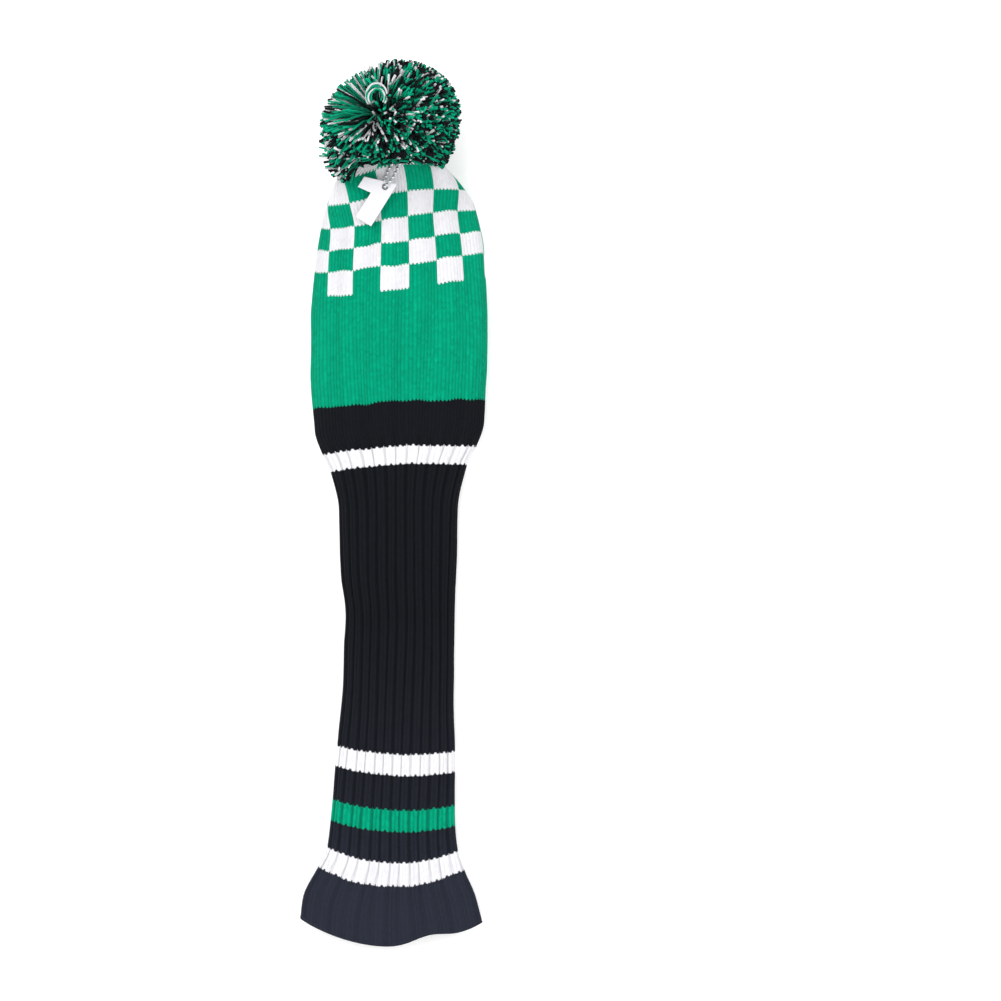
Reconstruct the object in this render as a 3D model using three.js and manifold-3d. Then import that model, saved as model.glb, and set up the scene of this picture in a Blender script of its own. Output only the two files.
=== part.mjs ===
// A knitted driver head cover with a pom-pom, lying on a flat surface.
// Millimetres, +Z up. The cover lies along Y with its pom-pom at +Y and its cuff at -Y.
// The sleeve is one knitted tube, made here as one solid for each run of courses in one yarn.
import * as THREE from "three";
import { mergeVertices } from "three/addons/utils/BufferGeometryUtils.js";
import Module from "manifold-3d";

const wasm = await Module();
wasm.setup();

// ---- Driving dimensions -------------------------------------------------------------------

// Length of each yarn's run of courses, measured up the middle of the front, from the hem.
const BIND_OFF_LENGTH = 2.4;
const CUFF_LENGTH = 32.2;
const CUFF_WHITE_LENGTH = 13.4;
const SPACER_LOWER_LENGTH = 17.9;
const GREEN_STRIPE_LENGTH = 12.2;
const SPACER_UPPER_LENGTH = 19.2;
const NECK_WHITE_LENGTH = 12.1;
const NECK_RIB_LENGTH = 168.7;
const UPPER_WHITE_LENGTH = 10.2;
const SHOULDER_LENGTH = 26.1;
const GREEN_BAND_LENGTH = 64;
const CHECKER_LENGTH = 80;

// Half widths of the sleeve as it lies flat.
const HEM_HALF = 52.8;
const CUFF_WAIST_HALF = 37.8;
const NECK_HALF = 32.4;
const SHOULDER_HALF = 44.2;
const HEAD_HALF = 51.3;
const CROWN_HALF = 44.4;
const GATHER_HALF = 10;

// Heights of the top of the sleeve above the surface that it lies on.
const MOUTH_HEIGHT = 18;
const NECK_HEIGHT = 15;
const HEAD_HEIGHT = 27;
const GATHER_HEIGHT = 38.1;
const GATHER_DEPTH = 11;
const CORNER = 2.5; // exponent of the superellipse that a section follows; 2 is an ellipse
const SAG = 3.2; // how far the section would reach below the surface if nothing held it up

// Knitted walls and the clearance between touching pieces.
const WALL = 3;
const LINING_WALL = 2;
const LINING_CLEARANCE = 1.2;
const LINING_INSET = 16; // from the gathered crown down to the lining's closed end
const LINING_OVERLAP = 2.5; // how far the lining stays inside the shoulder's lower edge
const GAP = 0.3;

// The neck bends to each side about one upright axis and folds up about one crosswise axis.
const BEND_BELOW_STRIPE = 53; // from the upper white stripe down to the bend's axis
const BEND_RADIUS = 45; // of the round joint face between the bending lengths
const BEND_GAP = 0.8; // across that face, so that one length turns freely inside the other
const FOLD_BELOW_STRIPE = 118; // from the upper white stripe down to the fold line

// Pom-pom, its tie and the drawn-up crown.
const POM_RADIUS = 38.5;
const POM_OFFSET = -5.5; // sideways, from the middle of the head section
const TIE_LENGTH = 13.5; // from the gathered crown to the pom-pom's heart
const TIE_TILT = THREE.MathUtils.degToRad(26);
const TIE_RADIUS = 1.2;
const TIE_KNOT_RADIUS = 2.4;
const HEART_KNOT_RADIUS = 3.4;
const HEART_CLEARANCE = 0.8;
const POM_RECESS_RADIUS = 14;
const POM_RECESS_DEPTH = 5.4; // from the heart down to the recess round the tie
const POM_RIM_DEPTH = 20; // from the heart down to the parted strands' rim
const POM_HOLLOW_RADIUS = 24; // of the hollow round the crown, halfway down to the rim
const POM_HOLLOW_DEPTH = 11;
const GATHER_YARN_RADIUS = 1;

// Number tag and ball chain.
const TAG_HEIGHT = 28.5;
const TAG_STEM_WIDTH = 10.3;
const TAG_FLAG_REACH = 8.1;
const TAG_FLAG_DEPTH = 7;
const TAG_FLAG_BELOW_TOP = 13.5; // from the top down to the flag's lower corner
const TAG_THICKNESS = 2;
const TAG_HOLE_RADIUS = 1.9;
const TAG_HOLE_BELOW_TOP = 5;
const TAG_TURN = THREE.MathUtils.degToRad(-32.5); // the stem's foot lies to the left
const TAG_SLOPE = THREE.MathUtils.degToRad(8); // the head of the tag rests on the chain
const TAG_LIFT = 5.1; // of the middle of the hole above the sleeve, on the strand beneath
const BEAD_RADIUS = 1;
const BEAD_PITCH = 2.9;
const LINK_RADIUS = 0.38;
const CHAIN_CLEARANCE = 1.2; // between the beads and the sleeve that they lie on
const CONNECTOR_RADIUS = 1.5;
const CONNECTOR_LENGTH = 7.5;
const CHAIN_LOOP_HALF = 5.6; // half the width of the loop round the tie
const CHAIN_LOOP_ABOVE_CROWN = 4.5; // along Y, from the gathered crown to the loop
const CHAIN_REACH = 26.1; // from the loop to the hole in the tag
const CHAIN_LEAN = THREE.MathUtils.degToRad(-4.3); // the chain lies a little to the left

const SIDES = 32; // corners round the sleeve

// ---- Colours ------------------------------------------------------------------------------

const yarn = (color) => new THREE.MeshStandardMaterial({ color, roughness: 0.95, metalness: 0 });
const GREEN = yarn(0x07a273);
const WHITE = yarn(0xf2f1f4);
const BLACK = yarn(0x1d1f25);
const LINING = yarn(0x24262c);
const TAG_WHITE = new THREE.MeshStandardMaterial({ color: 0xf6f5f8, roughness: 0.45, metalness: 0 });
const STEEL = new THREE.MeshStandardMaterial({ color: 0xc9cace, roughness: 0.25, metalness: 1 });

// ---- Stations up the sleeve ---------------------------------------------------------------

// Where each run of courses starts, from the hem.
let reached = 0;
const run = (length) => {
  const from = reached;
  reached += length;
  return [from, reached];
};
const BIND_OFF = run(BIND_OFF_LENGTH);
const CUFF = run(CUFF_LENGTH);
const CUFF_WHITE = run(CUFF_WHITE_LENGTH);
const SPACER_LOWER = run(SPACER_LOWER_LENGTH);
const GREEN_STRIPE = run(GREEN_STRIPE_LENGTH);
const SPACER_UPPER = run(SPACER_UPPER_LENGTH);
const NECK_WHITE = run(NECK_WHITE_LENGTH);
const NECK_RIB = run(NECK_RIB_LENGTH);
const UPPER_WHITE = run(UPPER_WHITE_LENGTH);
const SHOULDER = run(SHOULDER_LENGTH);
const GREEN_BAND = run(GREEN_BAND_LENGTH);
const CHECKER = run(CHECKER_LENGTH);
const CROWN_END = CHECKER[1];
const part = ([from, to], share) => from + (to - from) * share;

// Each station: place, half width, top, underside, sideways offset, and how its courses lie.
// rise is how much nearer the crown a course lies at its edges; lean is its slope sideways.
const STATIONS = [
  { at: 0, half: HEM_HALF, top: MOUTH_HEIGHT, under: 0, side: -4.9, rise: 14.4, lean: -0.022 },
  { at: part(CUFF, 0.4), half: 0.95 * HEM_HALF, top: MOUTH_HEIGHT - 1, under: 0, side: -5.4, rise: 12.6, lean: -0.02 },
  { at: CUFF[1], half: 42.3, top: MOUTH_HEIGHT - 2.5, under: 0, side: -4.8, rise: 10, lean: -0.02 },
  { at: CUFF_WHITE[1], half: CUFF_WAIST_HALF, top: NECK_HEIGHT, under: 0, side: -4, rise: 7.5, lean: -0.03 },
  { at: SPACER_LOWER[1], half: 36.1, top: NECK_HEIGHT, under: 0, side: -3.8, rise: 4.6, lean: -0.045 },
  { at: NECK_WHITE[0], half: 34.7, top: NECK_HEIGHT, under: 0, side: -2.4, rise: 3.6, lean: -0.05 },
  { at: part(NECK_RIB, 0.22), half: NECK_HALF, top: NECK_HEIGHT, under: 0, side: -0.6, rise: 1.5, lean: -0.02 },
  { at: part(NECK_RIB, 0.47), half: NECK_HALF - 0.8, top: NECK_HEIGHT, under: 0, side: 0.5, rise: 0, lean: 0 },
  { at: part(NECK_RIB, 0.63), half: NECK_HALF + 1.1, top: NECK_HEIGHT + 0.5, under: 0, side: -0.4, rise: -0.4, lean: 0.01 },
  { at: part(NECK_RIB, 0.85), half: NECK_HALF + 1.9, top: NECK_HEIGHT + 1.5, under: 0, side: -0.4, rise: -1.4, lean: 0.03 },
  { at: UPPER_WHITE[0], half: 39.5, top: NECK_HEIGHT + 4, under: 0, side: 0, rise: -2.4, lean: 0.05 },
  { at: SHOULDER[0], half: SHOULDER_HALF, top: NECK_HEIGHT + 6.5, under: 0, side: 0.4, rise: -2.6, lean: 0.05 },
  { at: part(SHOULDER, 0.55), half: 0.5 * (SHOULDER_HALF + HEAD_HALF) + 1.2, top: HEAD_HEIGHT - 2.8, under: 0, side: 0.2, rise: -2.5, lean: 0.05 },
  { at: part(GREEN_BAND, 0.5), half: HEAD_HALF, top: HEAD_HEIGHT, under: 0, side: 0, rise: 0, lean: 0.09 },
  { at: part(CHECKER, 0.11), half: HEAD_HALF - 1.8, top: HEAD_HEIGHT, under: 0, side: 0, rise: 2, lean: 0.12 },
  { at: part(CHECKER, 0.55), half: CROWN_HALF, top: HEAD_HEIGHT, under: 0, side: -0.6, rise: -1, lean: 0.12 },
  { at: part(CHECKER, 0.68), half: 0.914 * CROWN_HALF, top: HEAD_HEIGHT + 0.8, under: 0.6, side: -1.2, rise: -2.2, lean: 0.1 },
  { at: part(CHECKER, 0.79), half: 0.8 * CROWN_HALF, top: HEAD_HEIGHT + 3, under: 4.5, side: -2, rise: -1.8, lean: 0.07 },
  { at: part(CHECKER, 0.9), half: 0.64 * CROWN_HALF, top: GATHER_HEIGHT - 2.4, under: 14, side: -3.6, rise: -0.8, lean: 0.03 },
  { at: part(CHECKER, 0.96), half: 0.43 * CROWN_HALF, top: GATHER_HEIGHT, under: 21, side: -4.8, rise: -0.2, lean: 0.01 },
  { at: CROWN_END, half: GATHER_HALF, top: GATHER_HEIGHT, under: GATHER_HEIGHT - GATHER_DEPTH, side: POM_OFFSET, rise: 0, lean: 0 },
];

// A smooth curve through one field of the stations that never overshoots them.
function profile(field) {
  const x = STATIONS.map((s) => s.at);
  const y = STATIONS.map((s) => s[field]);
  const last = x.length - 1;
  const slope = x.slice(1).map((to, i) => (y[i + 1] - y[i]) / (to - x[i]));
  const tangent = x.map((_, i) => {
    if (i === 0) return slope[0];
    if (i === last) return slope[last - 1];
    const [a, b] = [slope[i - 1], slope[i]];
    return a * b <= 0 ? 0 : (2 * a * b) / (a + b);
  });
  return (at) => {
    const i = Math.max(0, Math.min(last - 1, x.findIndex((to) => to > at) - 1 + (at >= x[last] ? last + 1 : 0)));
    const step = x[i + 1] - x[i];
    const t = (at - x[i]) / step;
    const [t2, t3] = [t * t, t * t * t];
    return (
      (2 * t3 - 3 * t2 + 1) * y[i] +
      (t3 - 2 * t2 + t) * step * tangent[i] +
      (3 * t2 - 2 * t3) * y[i + 1] +
      (t3 - t2) * step * tangent[i + 1]
    );
  };
}
const half = profile("half");
const top = profile("top");
const under = profile("under");
const side = profile("side");
const rise = profile("rise");
const lean = profile("lean");

// ---- The sleeve's surface -----------------------------------------------------------------

const bulge = (value) => Math.sign(value) * Math.abs(value) ** (2 / CORNER);

// The outer surface at an angle round the section and a place up the sleeve.
function surface(angle, at) {
  const across = bulge(Math.cos(angle));
  const [high, low] = [top(at), under(at)];
  const upright = (high - low + SAG) / 2;
  const z = Math.max(low, high - upright + upright * bulge(Math.sin(angle)));
  const y = at + rise(at) * across * across + lean(at) * across * half(at);
  return new THREE.Vector3(side(at) + across * half(at), y, z);
}

// How high the top of the sleeve is over a point of the surface that it lies on.
function sleeveTop(x, y) {
  let at = y;
  let across = 0;
  for (let i = 0; i < 4; i++) {
    across = Math.min(Math.abs(x - side(at)) / half(at), 1);
    at = y - rise(at) * across * across - lean(at) * (x - side(at));
  }
  const upright = (top(at) - under(at) + SAG) / 2;
  return top(at) - upright + upright * (1 - across ** CORNER) ** (1 / CORNER);
}

// A point inside the surface, at a depth along its inward normal.
function below(angle, at, depth) {
  const point = surface(angle, at);
  if (depth === 0) return point;
  const turn = 0.01;
  const along = 0.05;
  const round = surface(angle + turn, at).sub(surface(angle - turn, at));
  const up = surface(angle, Math.min(at + along, CROWN_END)).sub(surface(angle, at - along));
  return point.add(round.cross(up).normalize().multiplyScalar(depth));
}

// The place up the sleeve where a layer of it has a given y, which may depend on x.
function placeAtY(angle, depth, wanted) {
  let at = wanted(0);
  for (let i = 0; i < 6; i++) {
    const p = below(angle, at, depth);
    at += wanted(p.x) - p.y;
  }
  return at;
}

// ---- Solids -------------------------------------------------------------------------------

// A closed skin over rings of equal length. It joins the last ring to the first, unless
// poles close both ends.
function skin(rings, poles) {
  const n = rings[0].length;
  const points = rings.flat();
  const index = [];
  const links = poles ? rings.length - 1 : rings.length;
  for (let i = 0; i < links; i++) {
    const next = (i + 1) % rings.length;
    for (let j = 0; j < n; j++) {
      const k = (j + 1) % n;
      const [a, b, c, d] = [i * n + j, i * n + k, next * n + k, next * n + j];
      index.push(a, c, b, a, d, c);
    }
  }
  if (poles) {
    const [first, last] = [points.length, points.length + 1];
    points.push(...poles);
    const end = (rings.length - 1) * n;
    for (let j = 0; j < n; j++) {
      const k = (j + 1) % n;
      index.push(first, j, k, last, end + k, end + j);
    }
  }
  const geometry = new THREE.BufferGeometry().setFromPoints(points);
  geometry.setIndex(index);
  return geometry.toNonIndexed();
}

const angles = Array.from({ length: SIDES }, (_, i) => (2 * Math.PI * (i + 0.5)) / SIDES);

// A length of knitted tube between two edges, each a place or a function that gives one.
function tube(lower, upper, steps, { depth = 0, wall = WALL, spread = (f) => f } = {}) {
  const edge = (e, angle, d) => (typeof e === "function" ? e(angle, d) : e);
  const ring = (f, d) =>
    angles.map((angle) => {
      const from = edge(lower, angle, d);
      return below(angle, from + (edge(upper, angle, d) - from) * spread(f), d);
    });
  const fractions = Array.from({ length: steps + 1 }, (_, i) => i / steps);
  const outer = fractions.map((f) => ring(f, depth));
  const inner = fractions.reverse().map((f) => ring(f, depth + wall));
  return skin([...outer, ...inner]);
}

const root = new THREE.Group();

function add(name, geometry, material, parent = root) {
  geometry.deleteAttribute("uv");
  geometry.computeVertexNormals();
  const mesh = new THREE.Mesh(geometry, material);
  mesh.name = name;
  parent.add(mesh);
  return mesh;
}

// A run of courses, short of its neighbours by half a gap at each end.
function band(name, [from, to], material, steps, options) {
  add(name, tube(from + GAP / 2, to - GAP / 2, steps, options), material);
}

function sleeve() {
  add("cuff_bind_off", tube(BIND_OFF[0], BIND_OFF[1] - GAP, 1), BLACK);
  band("flared_cuff", CUFF, BLACK, 3);
  band("cuff_white_stripe", CUFF_WHITE, WHITE, 2);
  band("stripe_spacer_lower", SPACER_LOWER, BLACK, 2);
  band("green_stripe", GREEN_STRIPE, GREEN, 1);
  band("stripe_spacer_upper", SPACER_UPPER, BLACK, 1);
  band("neck_white_stripe", NECK_WHITE, WHITE, 1);
  neck();
  band("upper_white_stripe", UPPER_WHITE, WHITE, 1);
  band("shoulder_band", SHOULDER, BLACK, 2);
  band("green_band", GREEN_BAND, GREEN, 3);
  const nearCrown = (f) => Math.sin((f * Math.PI) / 2);
  add("checker_band", tube(CHECKER[0] + GAP / 2, CROWN_END, 8, { spread: nearCrown }), GREEN);
}

// The black neck is three lengths. The upper two meet on a round face about the bend's axis,
// and the lower two on a flat face below the fold line.
function neck() {
  const bendY = UPPER_WHITE[0] - BEND_BELOW_STRIPE;
  const foldY = UPPER_WHITE[0] - FOLD_BELOW_STRIPE;
  const bendX = side(bendY);
  const round = (radius) => (angle, depth) =>
    placeAtY(angle, depth, (x) => bendY + Math.sqrt(radius * radius - (x - bendX) ** 2));
  const straight = (y) => (angle, depth) => placeAtY(angle, depth, () => y);
  const [low, high] = NECK_RIB;
  add("neck_rib_top", tube(round(BEND_RADIUS + BEND_GAP / 2), high - GAP / 2, 1), BLACK);
  add("neck_rib_middle", tube(straight(foldY + GAP / 2), round(BEND_RADIUS - BEND_GAP / 2), 4), BLACK);
  add("neck_rib_lower", tube(low + GAP / 2, straight(foldY - GAP / 2), 2), BLACK);
}

// The head section's lining: a second knitted sock inside the first, closed at the crown.
function lining() {
  const mouth = SHOULDER[0] + LINING_OVERLAP;
  const end = CROWN_END - LINING_INSET;
  const steps = 8;
  const place = (f) => mouth + (end - mouth) * Math.sin((f * Math.PI) / 2);
  const ring = (f, depth) => angles.map((angle) => below(angle, place(f), depth));
  const fractions = Array.from({ length: steps + 1 }, (_, i) => i / steps);
  const outerDepth = WALL + LINING_CLEARANCE;
  const outer = fractions.map((f) => ring(f, outerDepth));
  const inner = fractions.map((f) => ring(f, outerDepth + LINING_WALL));
  const middle = (points) =>
    points.reduce((sum, p) => sum.add(p), new THREE.Vector3()).divideScalar(points.length);
  const pole = middle(outer[steps]);
  const innerPole = middle(inner[steps]);
  innerPole.y -= LINING_WALL;
  inner[steps].forEach((p) => (p.y -= LINING_WALL));
  add("head_lining", skin([...inner.reverse(), ...outer], [innerPole, pole]), LINING);
}

const GATHER = new THREE.Vector3(POM_OFFSET, CROWN_END, GATHER_HEIGHT - GATHER_DEPTH / 2);

// The yarn drawn round the open end of the crown, a ring with the crown's flat shape.
function gatherYarn() {
  const across = GATHER_HALF - GATHER_YARN_RADIUS;
  const upright = GATHER_DEPTH / 2 - GATHER_YARN_RADIUS;
  const y = GATHER.y + GAP + GATHER_YARN_RADIUS;
  const turns = (count) => Array.from({ length: count }, (_, i) => (2 * Math.PI * i) / count);
  const rings = turns(24).map((angle) => {
    const outward = new THREE.Vector3(Math.cos(angle), 0, Math.sin(angle));
    const middle = new THREE.Vector3(GATHER.x + across * outward.x, y, GATHER.z + upright * outward.z);
    return turns(6).map((a) =>
      middle
        .clone()
        .addScaledVector(outward, GATHER_YARN_RADIUS * Math.cos(a))
        .add(new THREE.Vector3(0, -GATHER_YARN_RADIUS * Math.sin(a), 0)),
    );
  });
  add("crown_gather_yarn", skin(rings), BLACK);
}

// ---- Pom-pom ------------------------------------------------------------------------------

// The tie's own frame: its origin at the pom-pom's heart, its Y along the tie.
const tieFrame = new THREE.Group();
tieFrame.position.set(
  GATHER.x,
  GATHER.y + TIE_LENGTH * Math.cos(TIE_TILT),
  GATHER.z + TIE_LENGTH * Math.sin(TIE_TILT),
);
tieFrame.rotation.x = TIE_TILT;
root.add(tieFrame);

const at2 = (pairs) => pairs.map(([x, y]) => new THREE.Vector2(x, y));

function pomPom() {
  const bore = HEART_KNOT_RADIUS + HEART_CLEARANCE;
  const rim = Math.sqrt(POM_RADIUS ** 2 - POM_RIM_DEPTH ** 2);
  const from = Math.atan2(-POM_RIM_DEPTH, rim);
  const arcSteps = 12;
  const arc = Array.from({ length: arcSteps + 1 }, (_, i) => {
    const angle = from + ((Math.PI / 2 - from) * i) / arcSteps;
    return [i === arcSteps ? 0 : POM_RADIUS * Math.cos(angle), POM_RADIUS * Math.sin(angle)];
  });
  const hollow = [
    [0, bore],
    [bore, bore],
    [bore, -POM_RECESS_DEPTH],
    [POM_RECESS_RADIUS, -POM_RECESS_DEPTH],
    [POM_HOLLOW_RADIUS, -POM_HOLLOW_DEPTH],
  ];
  add("pom_pom", new THREE.LatheGeometry(at2([...hollow, ...arc]), 24), GREEN, tieFrame);
}

function pomTie() {
  const inside = -TIE_LENGTH - 4.5;
  const profilePoints = [
    [0, inside],
    [TIE_KNOT_RADIUS, inside + 1],
    [TIE_KNOT_RADIUS, inside + 2.5],
    [TIE_RADIUS, inside + 3.4],
    [TIE_RADIUS, -HEART_KNOT_RADIUS],
    [HEART_KNOT_RADIUS, -1.5],
    [HEART_KNOT_RADIUS, 1.5],
    [0, HEART_KNOT_RADIUS],
  ];
  add("pom_tie", new THREE.LatheGeometry(at2(profilePoints), 12), BLACK, tieFrame);
}

// ---- Number tag and ball chain ------------------------------------------------------------

const LOOP = new THREE.Vector3(
  GATHER.x,
  GATHER.y + CHAIN_LOOP_ABOVE_CROWN,
  GATHER.z + CHAIN_LOOP_ABOVE_CROWN * Math.tan(TIE_TILT),
);
const HOLE = new THREE.Vector3(
  LOOP.x + CHAIN_REACH * Math.sin(CHAIN_LEAN),
  LOOP.y - CHAIN_REACH * Math.cos(CHAIN_LEAN),
  0,
);
HOLE.z = sleeveTop(HOLE.x, HOLE.y) + TAG_LIFT;

function numberTag() {
  const left = -TAG_STEM_WIDTH / 2;
  const right = TAG_STEM_WIDTH / 2;
  const head = TAG_HOLE_BELOW_TOP;
  const foot = head - TAG_HEIGHT;
  const flagLow = head - TAG_FLAG_BELOW_TOP;
  const outline = new THREE.Shape(
    at2([
      [left, foot],
      [right, foot],
      [right, head],
      [left - TAG_FLAG_REACH, flagLow + TAG_FLAG_DEPTH],
      [left - TAG_FLAG_REACH, flagLow],
      [left, flagLow + 1.2],
    ]),
  );
  const hole = new THREE.Path();
  hole.absarc(0, 0, TAG_HOLE_RADIUS, 0, 2 * Math.PI);
  outline.holes.push(hole);
  const geometry = new THREE.ExtrudeGeometry(outline, {
    depth: TAG_THICKNESS,
    curveSegments: 10,
    bevelEnabled: false,
  });
  geometry.translate(0, 0, -TAG_THICKNESS / 2);
  const tag = add("number_tag", geometry, TAG_WHITE);
  tag.position.copy(HOLE);
  tag.rotation.set(0, 0, TAG_TURN);
  tag.rotateX(TAG_SLOPE);
}

// The chain's closed line: up through the tag's hole, over its head, round the tie and back
// under the tag. Its strands lie on the sleeve between the two.
function chainLine() {
  const away = (x, y, z) => new THREE.Vector3(HOLE.x + x, HOLE.y + y, HOLE.z + z);
  const near = (x, y, z) => new THREE.Vector3(LOOP.x + x, LOOP.y + y, LOOP.z + z);
  const lying = (x, y) => {
    const point = new THREE.Vector3(HOLE.x + x, HOLE.y + y, 0);
    point.z = sleeveTop(point.x, point.y) + BEAD_RADIUS + CHAIN_CLEARANCE;
    return point;
  };
  const w = CHAIN_LOOP_HALF;
  return [
    away(0, 0, 0),
    away(1.4, 1.2, 2.9),
    away(4.4, 5, 3.6),
    away(7, 10, 3.4),
    lying(9.0, 15),
    near(w - 0.8, -3, w - 0.4),
    near(w, 0, w - 3.2),
    near(w, 0, 1 - w),
    near(CONNECTOR_LENGTH / 2, 0, -w),
    near(-CONNECTOR_LENGTH / 2, 0, -w),
    near(-w, 0, 1 - w),
    near(-w, 0, w - 3.2),
    near(1.4 - w, -3, w),
    lying(5, 15.5),
    lying(2.6, 10.5),
    lying(0.2, 5.6),
    away(-0.8, 1.4, -2.9),
  ];
}

// One solid from closed, overlapping geometries.
function solid(geometry) {
  const bare = geometry.clone();
  for (const name of Object.keys(bare.attributes)) {
    if (name !== "position") bare.deleteAttribute(name);
  }
  const merged = mergeVertices(bare, 1e-4);
  const triVerts = new Uint32Array(merged.index.array);
  const vertProperties = merged.attributes.position.array;
  return new wasm.Manifold(new wasm.Mesh({ numProp: 3, vertProperties, triVerts }));
}

function union(geometries) {
  const joined = geometries.map(solid).reduce((whole, next) => whole.add(next));
  const mesh = joined.getMesh();
  const geometry = new THREE.BufferGeometry();
  geometry.setAttribute("position", new THREE.BufferAttribute(mesh.vertProperties, 3));
  geometry.setIndex(new THREE.BufferAttribute(mesh.triVerts, 1));
  return geometry;
}

function bead(centre) {
  const ball = new THREE.SphereGeometry(BEAD_RADIUS, 6, 4);
  return ball.translate(centre.x, centre.y, centre.z);
}

// A round bar between two points.
function bar(from, to, radius, sides) {
  const length = from.distanceTo(to);
  const geometry = new THREE.CylinderGeometry(radius, radius, length, sides);
  const direction = to.clone().sub(from).normalize();
  geometry.applyQuaternion(new THREE.Quaternion().setFromUnitVectors(new THREE.Vector3(0, 1, 0), direction));
  const middle = from.clone().add(to).divideScalar(2);
  return geometry.translate(middle.x, middle.y, middle.z);
}

function chain() {
  const curve = new THREE.CatmullRomCurve3(chainLine(), true, "centripetal");
  curve.arcLengthDivisions = 2000;
  const length = curve.getLength();
  const connectorAt = LOOP.clone().add(new THREE.Vector3(0, 0, -CHAIN_LOOP_HALF));
  const count = Math.round(length / BEAD_PITCH);
  const places = Array.from({ length: count }, (_, i) => curve.getPointAt(i / count));
  const clear = CONNECTOR_LENGTH / 2 + GAP + BEAD_RADIUS;
  const kept = places.filter((p) => p.distanceTo(connectorAt) > clear);
  const start = places.findIndex((p) => p.distanceTo(connectorAt) <= clear);
  const order = [...places.slice(start), ...places.slice(0, start)].filter((p) => kept.includes(p));
  const links = order.slice(1).map((p, i) => bar(order[i], p, LINK_RADIUS, 3));
  add("ball_chain", union([...order.map(bead), ...links]), STEEL);
  const reach = new THREE.Vector3(CONNECTOR_LENGTH / 2, 0, 0);
  const clip = bar(connectorAt.clone().sub(reach), connectorAt.clone().add(reach), CONNECTOR_RADIUS, 12);
  add("chain_connector", clip, STEEL);
}

sleeve();
lining();
gatherYarn();
pomPom();
pomTie();
numberTag();
chain();

// The origin is under the middle of the whole object, on the surface that it lies on.
root.updateMatrixWorld(true);
const box = new THREE.Box3().setFromObject(root, true);
const centre = box.getCenter(new THREE.Vector3());
root.position.set(-centre.x, -centre.y, -box.min.z);

export default root;
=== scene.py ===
"""The looks of a knitted driver head cover with a pom-pom, on the frame of its CAD model.

Sizes here are in millimetres, in the row's frame: +Y runs from the cuff to the pom-pom, and +Z
is up out of the surface that the cover lies on. Meshes are scaled to metres as they are made.
A point of the sleeve is found from its wale, counted round the tube, and its course, counted
from the hem.
"""

import math

import bpy
import numpy as np
from mathutils import Euler, Matrix, Vector


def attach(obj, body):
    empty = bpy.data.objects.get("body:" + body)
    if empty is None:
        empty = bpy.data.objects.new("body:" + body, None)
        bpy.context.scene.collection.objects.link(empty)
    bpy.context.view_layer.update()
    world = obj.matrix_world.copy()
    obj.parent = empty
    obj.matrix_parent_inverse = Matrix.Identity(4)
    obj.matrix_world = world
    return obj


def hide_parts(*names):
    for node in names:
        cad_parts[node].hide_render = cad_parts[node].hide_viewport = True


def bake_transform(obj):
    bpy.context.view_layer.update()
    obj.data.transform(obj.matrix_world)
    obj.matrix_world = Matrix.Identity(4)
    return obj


MM = 0.001

# ---- The knit ----

WALES = 112
RIB_WALES = 4  # two knit wales and two purl wales make a rib
SQUARE_WALES = 8
SQUARE_COURSES = 10
FRONT_WALE = 4.9  # the wale at the middle of the front
SAMPLES = 4  # grid points to a wale, and to a course
WALL = 2.4
LEG_SLANT = 0.9  # courses that a stitch's leg climbs from the middle of its wale to its edge
STITCH_RELIEF = 0.55
RIB_STEP = 0.62  # courses that the stitches of a rib's two halves stand apart
KNIT_SHARE = 0.42  # of a rib's width, for each knit wale in the rib
WALE_PITCH = 1.95  # round the head section
SLUMP_WALE = -13  # from the front's middle, where the squares hang lowest
SLUMP_WALES = 9  # how far that reaches to each side
HEM_ROPE_RADIUS = 1.3
HEM_ROPE_SAMPLES = 8  # to a wale
# size of a drift, how often it comes round the tube, and how far it turns with each course
WANDER_WAVES = [(0.45, 5, 0.031), (0.3, 11, -0.083), (0.2, 19, 0.19)]  # mm up the sleeve
SWAY_WAVES = [(0.3, 3, 0.045), (0.22, 13, -0.027)]  # wales sideways
# courses above the first course of squares, and how far down those have slid, in mm
SQUARES_SLUMP = (0, 10, 20, 30, 40, 50, 55), (0, 0.5, 1.3, 1.8, 2.1, 1.2, 0)
# courses, and how far down those of the lower stripes have slid, in mm
STRIPES_SLUMP = (33, 53, 66, 74, 120), (0, -0.4, -1.3, -1.3, 0)
# places along the sleeve, and how deep a rib's groove is there, in mm
RIB_DEPTHS = (20, 45, 90, 150, 270), (0.2, 0.28, 0.4, 0.7, 0.4)
STITCH_TINT = 0.07  # how much stitches of one yarn differ, for yarns that show it fully
STREAK_TINT = 0.055  # how much wales differ
STREAK_COURSES = 12  # length of a streak
FRONT_SHARE = 0.27  # of the way round, to each side, that keeps its wales' width at the crown

# The CAD sleeve starts at the hem's middle, here.
HEM_X = 3.273
HEM_Y = -254.448

# name, length, number of courses, yarn
BANDS = [
    ("cuff_bind_off", 2.4, 2, "navy"),
    ("flared_cuff", 32.2, 22, "navy"),
    ("cuff_white_stripe", 13.4, 9, "white"),
    ("stripe_spacer_lower", 17.9, 12, "black"),
    ("green_stripe", 12.2, 8, "green"),
    ("stripe_spacer_upper", 19.2, 13, "black"),
    ("neck_white_stripe", 12.1, 8, "white"),
    ("neck_rib", 168.7, 116, "black"),
    ("upper_white_stripe", 10.2, 7, "white"),
    ("shoulder_band", 26.1, 18, "black"),
    ("green_band", 64.0, 44, "green"),
    ("checker_band", 80.0, 55, "checker"),
]
COURSE_PLACES = np.cumsum([0] + [length for _, length, _, _ in BANDS])
COURSE_COUNTS = np.cumsum([0] + [count for _, _, count, _ in BANDS])
COURSES = {name: (COURSE_COUNTS[i], COURSE_COUNTS[i + 1]) for i, (name, _, _, _) in enumerate(BANDS)}
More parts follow.
